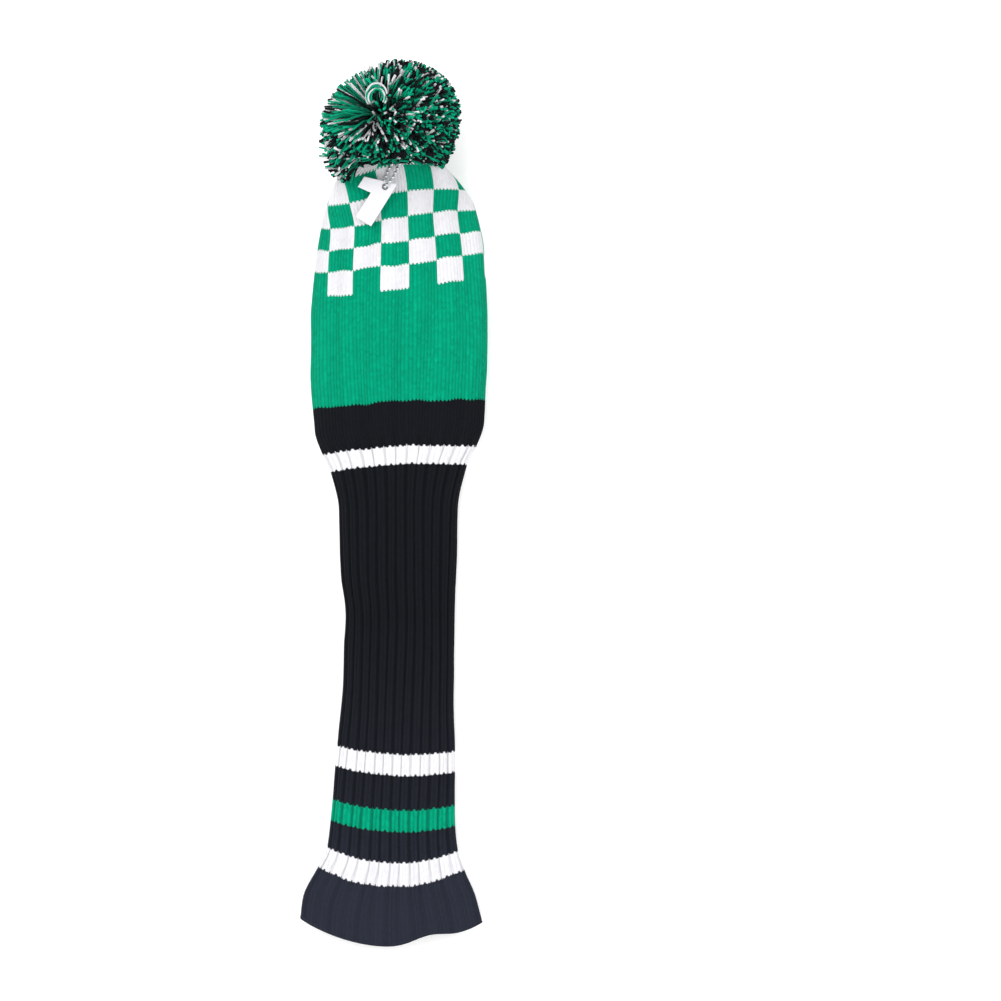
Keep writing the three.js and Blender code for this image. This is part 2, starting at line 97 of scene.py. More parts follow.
PLACES = {name: (COURSE_PLACES[i], COURSE_PLACES[i + 1]) for i, (name, _, _, _) in enumerate(BANDS)}

# Linear colours of the yarns.
YARNS = {
    "black": (0.0082, 0.0094, 0.0124),
    "navy": (0.0230, 0.0265, 0.0400),
    "white": (0.79, 0.785, 0.815),
    "green": (0.0002, 0.372, 0.202),
}
# places along the sleeve, and how far the black yarn has turned to navy there
NAVY_SHARES = (32, 52, 98, 150, 190), (1, 0.62, 0.3, 0.12, 0)
# Painted shade: how much darker each yarn's colour is made between its wales, and in a rib's groove, where
# shade falls.
PAINTED_VALLEY_SHADE = {"black": 0.32, "navy": 0.08, "white": 0.07, "green": 0.66}
PAINTED_GROOVE_SHADE = {"black": 0.3, "navy": 0.03, "white": 0.0, "green": 0.22}
YARN_NAMES = list(YARNS)

# ---- The sleeve's shape, as in the CAD model ----

CORNER = 2.5
SAG = 3.2
HEAD_HALF = 51.3
CROWN_HALF = 44.4
NECK_HALF = 32.4
GATHER_HALF = 10.0
GATHER_HEIGHT = 38.1
GATHER_DEPTH = 11.0
POM_OFFSET = -5.5

# The cuff's edge lies a little higher on the surface here, beside its middle.
CUFF_LIFT = 4.6
CUFF_LIFT_X = 17.6
CUFF_LIFT_HALF = 13.5
CUFF_LIFT_COURSES = 18


def part(name, share):
    low, high = PLACES[name]
    return low + (high - low) * share


# place, half width, top, underside, sideways offset, rise at the edges, sideways slope
STATIONS = np.array([
    (0, 52.8, 18, 0, -4.9, 14.4, -0.022),
    (part("flared_cuff", 0.4), 50.16, 17, 0, -5.4, 12.6, -0.02),
    (part("flared_cuff", 1), 42.3, 15.5, 0, -4.8, 10, -0.02),
    (part("cuff_white_stripe", 1), 37.8, 15, 0, -4, 7.5, -0.03),
    (part("stripe_spacer_lower", 1), 36.1, 15, 0, -3.8, 4.6, -0.045),
    (part("neck_white_stripe", 0), 34.7, 15, 0, -2.4, 3.6, -0.05),
    (part("neck_rib", 0.22), NECK_HALF, 15, 0, -0.6, 1.5, -0.02),
    (part("neck_rib", 0.47), NECK_HALF - 0.8, 15, 0, 0.5, 0, 0),
    (part("neck_rib", 0.63), NECK_HALF + 1.1, 15.5, 0, -0.4, -0.4, 0.01),
    (part("neck_rib", 0.85), NECK_HALF + 1.9, 16.5, 0, -0.4, -1.4, 0.03),
    (part("upper_white_stripe", 0), 39.5, 19, 0, 0, -2.4, 0.05),
    (part("shoulder_band", 0), 44.2, 21.5, 0, 0.4, -2.6, 0.05),
    (part("shoulder_band", 0.55), 48.95, 24.2, 0, 0.2, -2.5, 0.05),
    (part("green_band", 0.5), HEAD_HALF, 27, 0, 0, 0, 0.09),
    (part("checker_band", 0.11), HEAD_HALF - 1.8, 27, 0, 0, 2, 0.12),
    (part("checker_band", 0.55), CROWN_HALF, 27, 0, -0.6, -1, 0.12),
    (part("checker_band", 0.68), 0.914 * CROWN_HALF, 27.8, 0.6, -1.2, -2.2, 0.1),
    (part("checker_band", 0.79), 0.8 * CROWN_HALF, 30, 4.5, -2, -1.8, 0.07),
    (part("checker_band", 0.9), 0.64 * CROWN_HALF, GATHER_HEIGHT - 2.4, 14, -3.6, -0.8, 0.03),
    (part("checker_band", 0.96), 0.43 * CROWN_HALF, GATHER_HEIGHT, 21, -4.8, -0.2, 0.01),
    (part("checker_band", 1), GATHER_HALF, GATHER_HEIGHT, GATHER_HEIGHT - GATHER_DEPTH, POM_OFFSET, 0, 0),
])


def profile(field):
    """A smooth curve through one field of the stations that never overshoots them."""
    x, y = STATIONS[:, 0], STATIONS[:, field]
    slope = np.diff(y) / np.diff(x)
    tangent = np.concatenate([slope[:1], slope, slope[-1:]])[:-1].copy()
    for i in range(1, len(x) - 1):
        a, b = slope[i - 1], slope[i]
        tangent[i] = 0 if a * b <= 0 else 2 * a * b / (a + b)
    tangent[-1] = slope[-1]

    def value(at):
        at = np.clip(at, x[0], x[-1])
        i = np.clip(np.searchsorted(x, at, side="right") - 1, 0, len(x) - 2)
        step = x[i + 1] - x[i]
        t = (at - x[i]) / step
        t2, t3 = t * t, t * t * t
        return (
            (2 * t3 - 3 * t2 + 1) * y[i]
            + (t3 - 2 * t2 + t) * step * tangent[i]
            + (3 * t2 - 2 * t3) * y[i + 1]
            + (t3 - t2) * step * tangent[i + 1]
        )

    return value


half, top, under, side, rise, lean = (profile(field) for field in range(1, 7))


def bulge(value):
    return np.sign(value) * np.abs(value) ** (2 / CORNER)


def surface(angle, at):
    """The CAD sleeve's outer surface: angle and at are arrays that broadcast together."""
    across = bulge(np.cos(angle))
    high, low = top(at), under(at)
    upright = (high - low + SAG) / 2
    z = np.maximum(low, high - upright + upright * bulge(np.sin(angle)))
    y = at + rise(at) * across**2 + lean(at) * across * half(at)
    x = side(at) + across * half(at)
    return np.stack(np.broadcast_arrays(x + HEM_X, y + HEM_Y, z), axis=-1)


def sleeve_top(x, y):
    """How high the top of the sleeve is over points of the surface that it lies on."""
    x, y = x - HEM_X, y - HEM_Y
    at = y
    for _ in range(4):
        across = np.minimum(np.abs(x - side(at)) / half(at), 1)
        at = y - rise(at) * across**2 - lean(at) * (x - side(at))
    upright = (top(at) - under(at) + SAG) / 2
    return top(at) - upright + upright * (1 - across**CORNER) ** (1 / CORNER)


def reach_along(points):
    """How far along a line each of its points is."""
    return np.concatenate([[0], np.cumsum(np.linalg.norm(np.diff(points, axis=0), axis=1))])


def unit(v):
    return v / np.maximum(np.linalg.norm(v, axis=-1, keepdims=True), 1e-9)


def angle_at(share, at):
    """The angle of points at a share of the way round, clockwise from the top's middle.

    share and at are both arrays of rows by columns, with one value of at to a row.
    """
    dense = np.linspace(np.pi / 2, -1.5 * np.pi, 721)
    angles = np.empty_like(share)
    for row in range(share.shape[0]):
        reach = reach_along(surface(dense, at[row, 0])[:, [0, 2]])
        signed = (share[row] + 0.5) % 1 - 0.5
        keep = crown_keep(at[row, 0])
        if keep > 0:
            signed = signed * (1 - keep) + crumpled(signed, reach[-1]) * keep
        angles[row] = np.interp(signed % 1 * reach[-1], reach, dense)
    return angles


def crumpled(signed, girth):
    """Near the crown the front keeps its wales' width, and the rest is crumpled under it."""
    fill = min(girth / (WALES * WALE_PITCH), 1)
    edge = FRONT_SHARE * fill
    behind = FRONT_SHARE + (np.abs(signed) - edge) * (0.5 - FRONT_SHARE) / (0.5 - edge)
    return np.where(np.abs(signed) < edge, signed / fill, np.sign(signed) * behind)


def crown_keep(at):
    low, high = part("checker_band", 0.45), part("checker_band", 0.75)
    fade = part("checker_band", 0.88), part("checker_band", 0.97)
    return ease((at - low) / (high - low)) * (1 - ease((at - fade[0]) / (fade[1] - fade[0])))


def ease(t):
    t = np.clip(t, 0, 1)
    return t * t * (3 - 2 * t)


def place_of(course):
    return np.interp(course, COURSE_COUNTS, COURSE_PLACES)


def ribbing(course):
    """1 where the knit is ribbed and 0 where it is plain."""
    start = COURSES["shoulder_band"][0]
    at_cuff = 0.3 + 0.7 * ease((course - 18) / 14)
    return (1 - ease((course - start + 3) / 9)) * at_cuff


def ribbed(wale, amount):
    """Where a wale lies once the rib has drawn its purl wales in."""
    within = wale % RIB_WALES
    knit = 4 * (0.25 + (KNIT_SHARE - 0.25) * amount)
    purl = 2 - knit
    drawn = np.where(
        within < 2, within * knit, np.where(within < 4, 2 * knit + (within - 2) * purl, 4)
    )
    return wale - within + drawn


def wander(wale, course):
    """How far up the sleeve each stitch has strayed, in mm; none at the hem or the crown."""
    held = ease(course / 25) * ease((COURSE_COUNTS[-1] - 12 - course) / 20) * (1 - 0.75 * ribbing(course))
    return held * drift(wale, course, WANDER_WAVES)


def drift(wale, course, table):
    turn = 2 * np.pi * wale / WALES
    return sum(size * np.sin(times * turn + course * slant) for size, times, slant in table)


def slump(wale, course):
    """How far down the sleeve the courses have slid, in mm; most at the left of the crown.

    The stripes at the foot of the neck have slid up instead.
    """
    up = course - COURSES["checker_band"][0]
    everywhere = np.interp(up, *SQUARES_SLUMP)
    stripes = np.interp(course, *STRIPES_SLUMP)
    aside = ((wale - FRONT_WALE - SLUMP_WALE + WALES / 2) % WALES - WALES / 2) / SLUMP_WALES
    drop = (2.7 + 2.3 * ease((up - 40) / 10)) * ease((up - 8) / 26) * ease((55 - up) / 5)
    return everywhere + stripes + drop * np.exp(-(aside**2))


def cuff_lift(points, course):
    """Points of the sleeve, once the cuff's edge is lifted to the right of its middle."""
    aside = (points[..., 0] - HEM_X - CUFF_LIFT_X) / CUFF_LIFT_HALF
    lifted = points.copy()
    lifted[..., 1] += CUFF_LIFT * np.exp(-(aside**2)) * (1 - ease(course / CUFF_LIFT_COURSES))
    return lifted


def sway(wale, course):
    """How many wales each stitch has strayed sideways."""
    return drift(wale, course, SWAY_WAVES)


def rib_relief(wale, amount):
    """How far the knit drops into a rib's groove, from 0 on the ridge to 1 in the groove."""
    within = ribbed(wale, amount) % RIB_WALES / RIB_WALES
    middle = 0.25 + (KNIT_SHARE - 0.25) * amount
    ridge = np.cos(2 * np.pi * (within - middle))
    return (1 - ease((ridge + 1) / 0.95)) * amount


def rib_depth(course):
    return np.interp(place_of(course), *RIB_DEPTHS)


def rib_step(wale, course):
    """How many courses higher the stitches stand at the middle of each half of a rib."""
    return RIB_STEP * ribbing(course) * (np.abs(np.sin(np.pi * wale / 2)) - 0.5)


def stitch_phase(wale, course):
    """The course coordinate along a stitch's slanting legs, and how far it stands out."""
    within = wale % 1
    middle = 1 - np.abs(2 * within - 1)
    legs = 0.35 * np.abs(np.sin(2 * np.pi * within)) + 0.65 * np.sin(np.pi * within) ** 0.5
    return course - rib_step(wale, course) + LEG_SLANT * (middle - 0.5), legs


def stitch_relief(wale, course):
    phase, legs = stitch_phase(wale, course)
    return legs * (0.55 + 0.45 * np.abs(np.sin(np.pi * phase)) ** 0.7)


def waves(points, seed, shortest, longest, count=14):
    """Smooth noise of about unit size over points, from waves of the given lengths."""
    rng = np.random.default_rng(seed)
    total = np.zeros(points.shape[:-1])
    for _ in range(count):
        heading = unit(rng.normal(size=3))
        length = rng.uniform(shortest, longest)
        total += np.sin(points @ heading * 2 * np.pi / length + rng.uniform(0, 2 * np.pi))
    return total / math.sqrt(count / 2)


def grid_normals(points):
    """Unit normals of a grid that is closed round its columns."""
    across = np.roll(points, -1, axis=1) - np.roll(points, 1, axis=1)
    along = np.gradient(points, axis=0)
    return unit(np.cross(across, along))


def sleeve_grid(first, last, per_wale, per_course):
    """Wales, courses, base points and normals of a stretch of the sleeve."""
    courses = np.arange(round((last - first) * per_course) + 1) / per_course + first
    wales = np.arange(WALES * per_wale) / per_wale
    wale, course = np.meshgrid(wales, courses)
    at = place_of(course)
    amount = ribbing(course)
    share = (ribbed(wale, amount) + sway(wale, course) - FRONT_WALE) / WALES
    strayed = at + wander(wale, course) - slump(wale, course)
    base = cuff_lift(surface(angle_at(share, at), strayed), course)
    return wale, course, base, grid_normals(base)


def outer_points(wale, course, base, normal):
    amount = ribbing(course)
    groove = rib_relief(wale, amount)
    relief = stitch_relief(wale, course) * STITCH_RELIEF * (1 - 0.6 * groove)
    sag = 0.28 * waves(base, 3, 34, 80) + 0.03 * waves(base, 4, 10, 18)
    offset = relief - 0.4 - rib_depth(course) * groove + sag * np.clip(base[..., 2] / 8, 0.1, 1)
    points = base + normal * offset[..., None]
    points[..., 2] = np.maximum(points[..., 2], 0.03)
    return points


def inner_points(wale, course, base, normal):
    groove = rib_relief(wale, ribbing(course))
    relief = 0.2 * np.abs(np.sin(2 * np.pi * course)) * np.abs(np.sin(np.pi * wale))
    depth = WALL + 0.3 * rib_depth(course) * (1 - groove) * ribbing(course) - relief
    points = base - normal * depth[..., None]
    points[..., 2] = np.maximum(points[..., 2], 1.4)
    return points


def yarn_index(wale, course):
    """The index in YARN_NAMES of each stitch's yarn."""
    name_of = {name: i for i, name in enumerate(YARN_NAMES)}
    band = np.clip(np.searchsorted(COURSE_COUNTS, course, side="right") - 1, 0, len(BANDS) - 1)
    plain = np.array([name_of.get(yarn, 0) for _, _, _, yarn in BANDS])[band]
    column = np.floor(wale / SQUARE_WALES)
    row = np.floor((course - COURSES["checker_band"][0]) / SQUARE_COURSES)
    square = np.where((column + row) % 2 == 0, name_of["white"], name_of["green"])
    checker = band == len(BANDS) - 1
    return np.where(checker, square, plain)


def dye(course, yarn):
    """The yarns' colours, where the dark yarn turns from black to navy towards the cuff."""
    colour = np.array([YARNS[name] for name in YARN_NAMES])[yarn]
    share = np.interp(place_of(course), *NAVY_SHARES)[..., None]
    dark = np.array(YARNS["black"]) * (1 - share) + np.array(YARNS["navy"]) * share
    is_dark = (yarn == YARN_NAMES.index("black")) | (yarn == YARN_NAMES.index("navy"))
    return np.where(is_dark[..., None], dark, colour)


def by_yarn(table, yarn):
    return np.array([table[name] for name in YARN_NAMES])[yarn]


def stitch_colours(wale, course, shade=True):
    """The colour of the knit at face centres, with each stitch a little different, and with painted shade
    between the wales and in the ribs' grooves.
    """
    phase, legs = stitch_phase(wale, course)
    stitch = np.floor(phase)
    column = np.floor(wale).astype(int) % WALES
    yarn = yarn_index(np.floor(wale), stitch)
    colour = dye(course, yarn)
    rng = np.random.default_rng(5)
    tint = rng.normal(0, 1, (400, WALES))[stitch.astype(int) % 400, column]
    tint = 1 + (0.015 + STITCH_TINT * by_yarn(PAINTED_VALLEY_SHADE, yarn)) * tint
    streaks = rng.normal(0, 1, (40, WALES))
    low = np.floor(course / STREAK_COURSES).astype(int) % 39
    fade = course / STREAK_COURSES % 1
    streak = streaks[low, column] * (1 - fade) + streaks[low + 1, column] * fade
    tint = tint * (1 + STREAK_TINT * by_yarn(PAINTED_VALLEY_SHADE, yarn) * streak)
    # With shade off, the colour is darkened evenly by 0.85, a painted shade about as deep as the mean of
    # the pattern below.
    if not shade:
        return colour * tint[..., None] * 0.85
    # Painted shade: darker between the wales, between a stitch's legs, and in a rib's grooves.
    along = np.abs(np.sin(np.pi * phase)) ** 0.6
    valley_shade = 1 - by_yarn(PAINTED_VALLEY_SHADE, yarn) * (1 - legs * (0.75 + 0.25 * along))
    groove = 1 - by_yarn(PAINTED_GROOVE_SHADE, yarn) * rib_relief(wale, ribbing(course))
    return colour * (tint * valley_shade * groove)[..., None]


# ---- Meshes ----


def new_object(name, data):
    obj = bpy.data.objects.new(name, data)
    bpy.context.scene.collection.objects.link(obj)
    return obj


def mesh_object(name, points, faces, colours=None, uvs=None, smooth=True):
    """A mesh from points in millimetres, faces as index arrays, and values for each face corner."""
    mesh = bpy.data.meshes.new(name)
    counts = np.concatenate([np.full(len(f), f.shape[1]) for f in faces])
    corners = np.concatenate([f.ravel() for f in faces]).astype(np.int32)
    mesh.vertices.add(len(points))
    mesh.vertices.foreach_set("co", (points * MM).astype(np.float32).ravel())
    mesh.loops.add(len(corners))
    mesh.loops.foreach_set("vertex_index", corners)
    mesh.polygons.add(len(counts))
    mesh.polygons.foreach_set("loop_start", np.concatenate([[0], np.cumsum(counts)[:-1]]).astype(np.int32))
    mesh.update(calc_edges=True)
    if smooth:
        mesh.polygons.foreach_set("use_smooth", np.ones(len(counts), dtype=bool))
    if colours is not None:
        rgba = np.concatenate([colours, np.ones((len(colours), 1))], axis=1)
        layer = mesh.color_attributes.new("yarn", "FLOAT_COLOR", "CORNER")
        layer.data.foreach_set("color", rgba.astype(np.float32).ravel())
    if uvs is not None:
        layer = mesh.uv_layers.new(name="knit")
        layer.data.foreach_set("uv", uvs.astype(np.float32).ravel())
    mesh.validate()
    return new_object(name, mesh)


def tube_faces(rows, columns, start=0, flip=False):
    """Quads of a grid that is closed round its columns."""
    r, c = np.meshgrid(np.arange(rows - 1), np.arange(columns), indexing="ij")
    n = (c + 1) % columns
    quads = np.stack([r * columns + c, r * columns + n, (r + 1) * columns + n, (r + 1) * columns + c], -1)
    quads = quads.reshape(-1, 4) + start
    return quads[:, ::-1] if flip else quads


def fan(first, count, tip, flip=False):
    """Triangles from a ring of points to one tip."""
    ring = first + np.arange(count)
    triangles = np.stack([ring, np.roll(ring, -1), np.full(count, tip)], -1)
    return triangles[:, [1, 0, 2]] if flip else triangles


def repeated(faces, count, step):
    """The same faces on each of many copies of a set of points."""
    return (faces + (np.arange(count) * step)[:, None, None]).reshape(-1, faces.shape[1])


def corner_values(wale, course, flip=False):
    """The wale and course at the corners of a closed grid's faces, unwrapped at the seam."""
    step = wale[0, 1] - wale[0, 0]
    w0 = wale[:-1]
    w1 = w0 + step
    stepped = course - rib_step(wale, course)
    v0, v1 = stepped[:-1], stepped[1:]
    n0, n1 = np.roll(v0, -1, axis=1), np.roll(v1, -1, axis=1)
    corners = np.stack([
        np.stack([w0, v0], -1), np.stack([w1, n0], -1), np.stack([w1, n1], -1), np.stack([w0, v1], -1),
    ], axis=2)
    corners = corners.reshape(-1, 4, 2)
    if flip:
        corners = corners[:, ::-1]
    return corners.reshape(-1, 2)


def knit_piece(name, first, last):
    """A stretch of the sleeve, from one course to another, with its inner face."""
    wale, course, base, normal = sleeve_grid(first, last, SAMPLES, SAMPLES)
    outer = outer_points(wale, course, base, normal)
    inner_grid = sleeve_grid(first, last, 2, 1)
    inner = inner_points(*inner_grid)
    start = outer.shape[0] * outer.shape[1]
    faces = [
        tube_faces(*outer.shape[:2]),
        tube_faces(*inner.shape[:2], start=start, flip=True),
    ]
    uvs = [corner_values(wale, course), corner_values(inner_grid[0], inner_grid[1], flip=True)]
    half_step = 0.5 / SAMPLES
    colours = [
        stitch_colours(wale[:-1] + half_step, course[:-1] + half_step),
        stitch_colours(inner_grid[0][:-1] + 0.25, inner_grid[1][:-1] + 0.5, shade=False),
    ]
    colours = np.concatenate([np.repeat(c.reshape(-1, 3), 4, axis=0) for c in colours])
    points = np.concatenate([outer.reshape(-1, 3), inner.reshape(-1, 3)])
    return mesh_object(name, points, faces, colours, np.concatenate(uvs))


# ---- Materials ----


class Nodes:
    """A short way to build a material's node tree."""

    def __init__(self, name):
        self.material = bpy.data.materials.new(name)
        self.material.use_nodes = True
        self.tree = self.material.node_tree
        self.shader = next(n for n in self.tree.nodes if n.type == "BSDF_PRINCIPLED")

    def add(self, kind, **settings):
        node = self.tree.nodes.new(kind)
        for key, value in settings.items():
            setattr(node, key, value)
        return node

    def link(self, source, target):
        self.tree.links.new(source, target)

    def put(self, socket, value):
        if isinstance(value, (int, float, tuple)):
            socket.default_value = value
        else:
            self.link(value, socket)

    def math(self, operation, a, b=None, c=None):
        node = self.add("ShaderNodeMath", operation=operation)
        for socket, value in zip(node.inputs, (a, b, c)):
            if value is not None:
                self.put(socket, value)
        return node.outputs[0]

    def mix(self, blend, factor, a, b):
        node = self.add("ShaderNodeMix", data_type="RGBA", blend_type=blend)
        self.put(node.inputs["Factor"], factor)
        self.put(node.inputs["A"], a)
        self.put(node.inputs["B"], b)
        return node.outputs["Result"]

    def noise(self, scale, detail=3, roughness=0.6, vector=None, output="Fac"):
        node = self.add("ShaderNodeTexNoise")
        node.inputs["Scale"].default_value = scale
        node.inputs["Detail"].default_value = detail
        node.inputs["Roughness"].default_value = roughness
        if vector is None:
            vector = self.add("ShaderNodeTexCoord").outputs["Object"]
        self.link(vector, node.inputs["Vector"])
        return node.outputs[output]

    def remap(self, value, low, high, to_low, to_high):
        node = self.add("ShaderNodeMapRange")
        self.put(node.inputs["Value"], value)
        for key, number in zip(("From Min", "From Max", "To Min", "To Max"), (low, high, to_low, to_high)):
            node.inputs[key].default_value = number
        return node.outputs["Result"]

    def yarn_colour(self, tint):
        """The mesh's own yarn colours, times a tint."""
        colour = self.add("ShaderNodeAttribute", attribute_name="yarn").outputs["Color"]
        grey = self.add("ShaderNodeCombineColor")
        for socket in grey.inputs[:3]:
            self.link(tint, socket)
        return self.mix("MULTIPLY", 1.0, colour, grey.outputs[0])

    def knit_uv(self):
        uv = self.add("ShaderNodeUVMap", uv_map="knit").outputs["UV"]
        split = self.add("ShaderNodeSeparateXYZ")
        self.link(uv, split.inputs[0])
        return split.outputs["X"], split.outputs["Y"]

    def wave(self, phase):
        """The absolute sine of a phase in radians."""
        return self.math("ABSOLUTE", self.math("SINE", phase))

    def bump(self, height, distance, strength=1.0, normal=None):
        node = self.add("ShaderNodeBump")
        node.inputs["Strength"].default_value = strength
        node.inputs["Distance"].default_value = distance
        self.put(node.inputs["Height"], height)
        if normal is not None:
            self.link(normal, node.inputs["Normal"])
        return node.outputs["Normal"]

    def finish(self, **sockets):
        for key, value in sockets.items():
            self.put(self.shader.inputs[key.replace("_", " ")], value)
        return self.material


def knit_material(name):
    """Knitted yarn: each stitch's two legs, the twist of their plies, and loose fibre."""
    n = Nodes(name)
    wale, course = n.knit_uv()
    within = n.math("FRACT", wale)
    middle = n.math("SUBTRACT", 1.0, n.math("ABSOLUTE", n.math("MULTIPLY_ADD", within, 2.0, -1.0)))
    phase = n.math("MULTIPLY_ADD", middle, LEG_SLANT, course)
    across = n.wave(n.math("MULTIPLY", within, math.pi))
    level = n.math("SUBTRACT", phase, LEG_SLANT / 2)
    along = n.wave(n.math("MULTIPLY", level, math.pi))
    rounded = n.math("MULTIPLY_ADD", n.math("POWER", along, 0.6), 0.5, 0.5)
    leg = n.math("MULTIPLY", n.math("POWER", across, 0.6), rounded)
    twist = n.math("SINE", n.math("MULTIPLY_ADD", phase, 4 * math.pi, n.math("MULTIPLY", middle, 7.0)))
    fibre = n.noise(2600, detail=4, roughness=0.75)
    fleece = n.noise(520, detail=3)
    height = n.math("MULTIPLY_ADD", twist, 0.12, leg)
    height = n.math("MULTIPLY_ADD", fibre, 0.45, height)
    normal = n.bump(height, 0.00042, 0.9)
    normal = n.bump(fleece, 0.0004, 0.1, normal)
    broad = n.noise(28, detail=2)
    tint = n.math("MULTIPLY", n.remap(fibre, 0.25, 0.75, 0.93, 1.05), n.remap(broad, 0.3, 0.7, 0.98, 1.02))
    return n.finish(
        Base_Color=n.yarn_colour(tint),
        Roughness=0.92,
        Normal=normal,
        Specular_IOR_Level=0.03,
        Sheen_Weight=0.02,
        Sheen_Roughness=0.5,
    )


def strand_material(name):
    """Loose plied yarn: the plies wind round each strand."""
    n = Nodes(name)
    length, around = n.knit_uv()
    turn = n.math("MULTIPLY_ADD", around, 3 * 2 * math.pi, n.math("MULTIPLY", length, 1.4))
    plies = n.wave(n.math("MULTIPLY", turn, 0.5))
    fibre = n.noise(2400, detail=4, roughness=0.75)
    height = n.math("MULTIPLY_ADD", fibre, 0.7, n.math("POWER", plies, 0.6))
    # Painted shade: the colour is darker in the grooves between the plies, besides the fibre's own tone.
    tint = n.math("MULTIPLY", n.remap(fibre, 0.25, 0.75, 0.85, 1.12), n.remap(plies, 0.0, 0.6, 0.72, 1.0))
    return n.finish(
        Base_Color=n.yarn_colour(tint),
        Roughness=0.9,
        Normal=n.bump(height, 0.0005, 0.9),
        Specular_IOR_Level=0.06,
        Sheen_Weight=0.02,
        Sheen_Roughness=0.5,
    )


def plain_yarn_material(name, colour):
    n = Nodes(name)
    fibre = n.noise(1800, detail=4, roughness=0.75)
    dark = tuple(c * 0.7 for c in colour)
    light = tuple(min(c * 1.2, 1) for c in colour)
    shade = n.mix("MIX", n.remap(fibre, 0.3, 0.7, 0.0, 1.0), (*dark, 1.0), (*light, 1.0))
    return n.finish(Base_Color=shade, Roughness=0.92, Normal=n.bump(fibre, 0.0006), Specular_IOR_Level=0.1)


def steel_material(name):
    n = Nodes(name)
    scuff = n.noise(900, detail=3)
    rough = n.remap(scuff, 0.3, 0.7, 0.16, 0.34)
    return n.finish(
        Base_Color=(0.62, 0.63, 0.65, 1.0),
        Metallic=1.0,
        Roughness=rough,
        Normal=n.bump(scuff, 0.00004, 0.4),
    )


def tag_material(name):
    n = Nodes(name)
    grain = n.noise(700, detail=3)
    wear = n.noise(60, detail=4)
    worn = n.remap(wear, 0.35, 0.7, 0.0, 1.0)
    shade = n.mix("MIX", worn, (0.76, 0.755, 0.795, 1.0), (0.71, 0.705, 0.74, 1.0))
    return n.finish(
        Base_Color=shade,
        Roughness=n.remap(grain, 0.3, 0.7, 0.36, 0.5),
        Normal=n.bump(grain, 0.00005, 0.5),
        Subsurface_Weight=0.08,
        Subsurface_Radius=(0.002, 0.002, 0.002),
    )


def set_material(obj, material):
    obj.data.materials.clear()
    obj.data.materials.append(material)


# ---- The sleeve's pieces ----

BEND_Y = HEM_Y + PLACES["upper_white_stripe"][0] - 53
FOLD_Y = HEM_Y + PLACES["upper_white_stripe"][0] - 118
SPLIT_Y = (BEND_Y + FOLD_Y) / 2  # the neck's two pieces meet between its bend and its fold


def sleeve():
    knit = knit_material("knitted_yarn")
    upper_body = {"upper_white_stripe", "shoulder_band", "green_band", "checker_band"}
    for name, _, _, yarn in BANDS:
        first, last = COURSES[name]
        if name == "neck_rib":
            continue
        piece = knit_piece(name + "_knit", first, last)
        set_material(piece, knit)
        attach(piece, "head" if name in upper_body else "cuff")
        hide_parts(name)
    neck(knit)
    hem(knit)
    lining()


def neck(knit):
    first, last = COURSES["neck_rib"]
    split = round(np.interp(SPLIT_Y - HEM_Y, COURSE_PLACES, COURSE_COUNTS))
    lower = knit_piece("neck_rib_lower_knit", first, split)
    upper = knit_piece("neck_rib_upper_knit", split, last)
    for piece in (lower, upper):
        set_material(piece, knit)
    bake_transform(lower)
    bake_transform(upper)
    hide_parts("neck_rib_lower")
    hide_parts("neck_rib_middle", "neck_rib_top")


def rope_mesh(name, centres, outward, up, radius, bumps, colour, sides=8):
    """A closed rope with slanting bumps, as a cast-off edge has."""
    count = len(centres)
    around = np.arange(sides) / sides * 2 * np.pi
    along = np.arange(count) / count * bumps
    bump = np.abs(np.sin(np.pi * (along[:, None] + around[None] / (2 * np.pi))))
    swell = radius * (0.82 + 0.24 * bump)
    points = (
        centres[:, None]
        + outward[:, None] * (swell * np.cos(around))[..., None]
        + up[:, None] * (swell * np.sin(around))[..., None]
    )
    quads = tube_faces(count + 1, sides) % (count * sides)
    # Painted shade: the rope's colour is darker between its bumps.
    shade = bump * 0.4 + 0.65
    colours = np.repeat((np.array(colour) * shade.reshape(-1, 1)), 4, axis=0)
    uvs = np.zeros((len(quads) * 4, 2))
    return mesh_object(name, points.reshape(-1, 3), [quads], colours, uvs)


def hem(knit):
    """The chain of cast-off stitches along the cuff's edge."""
    count = WALES * HEM_ROPE_SAMPLES
    wales = np.arange(count) / HEM_ROPE_SAMPLES
    at = np.full((1, count), 1.5)
    amount = ribbing(np.zeros((1, count)))
    share = (ribbed(wales[None], amount) + sway(wales[None], 0) - FRONT_WALE) / WALES
    angle = angle_at(share, at)
    edge = cuff_lift(surface(angle, at)[0], 1)
    along = unit(cuff_lift(surface(angle, at + 1)[0], 2) - edge)
    tangent = np.roll(edge, -1, 0) - np.roll(edge, 1, 0)
    normal = unit(np.cross(tangent, along))
    groove = rib_relief(wales, amount[0])
    centres = edge - normal * (0.5 * WALL + 0.3 + rib_depth(0) * groove)[:, None]
    centres[:, 2] = np.maximum(centres[:, 2], 1.35)
    rope = rope_mesh("cast_off_edge", centres, normal, along, HEM_ROPE_RADIUS, WALES, YARNS["navy"])
    set_material(rope, knit)
    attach(rope, "cuff")


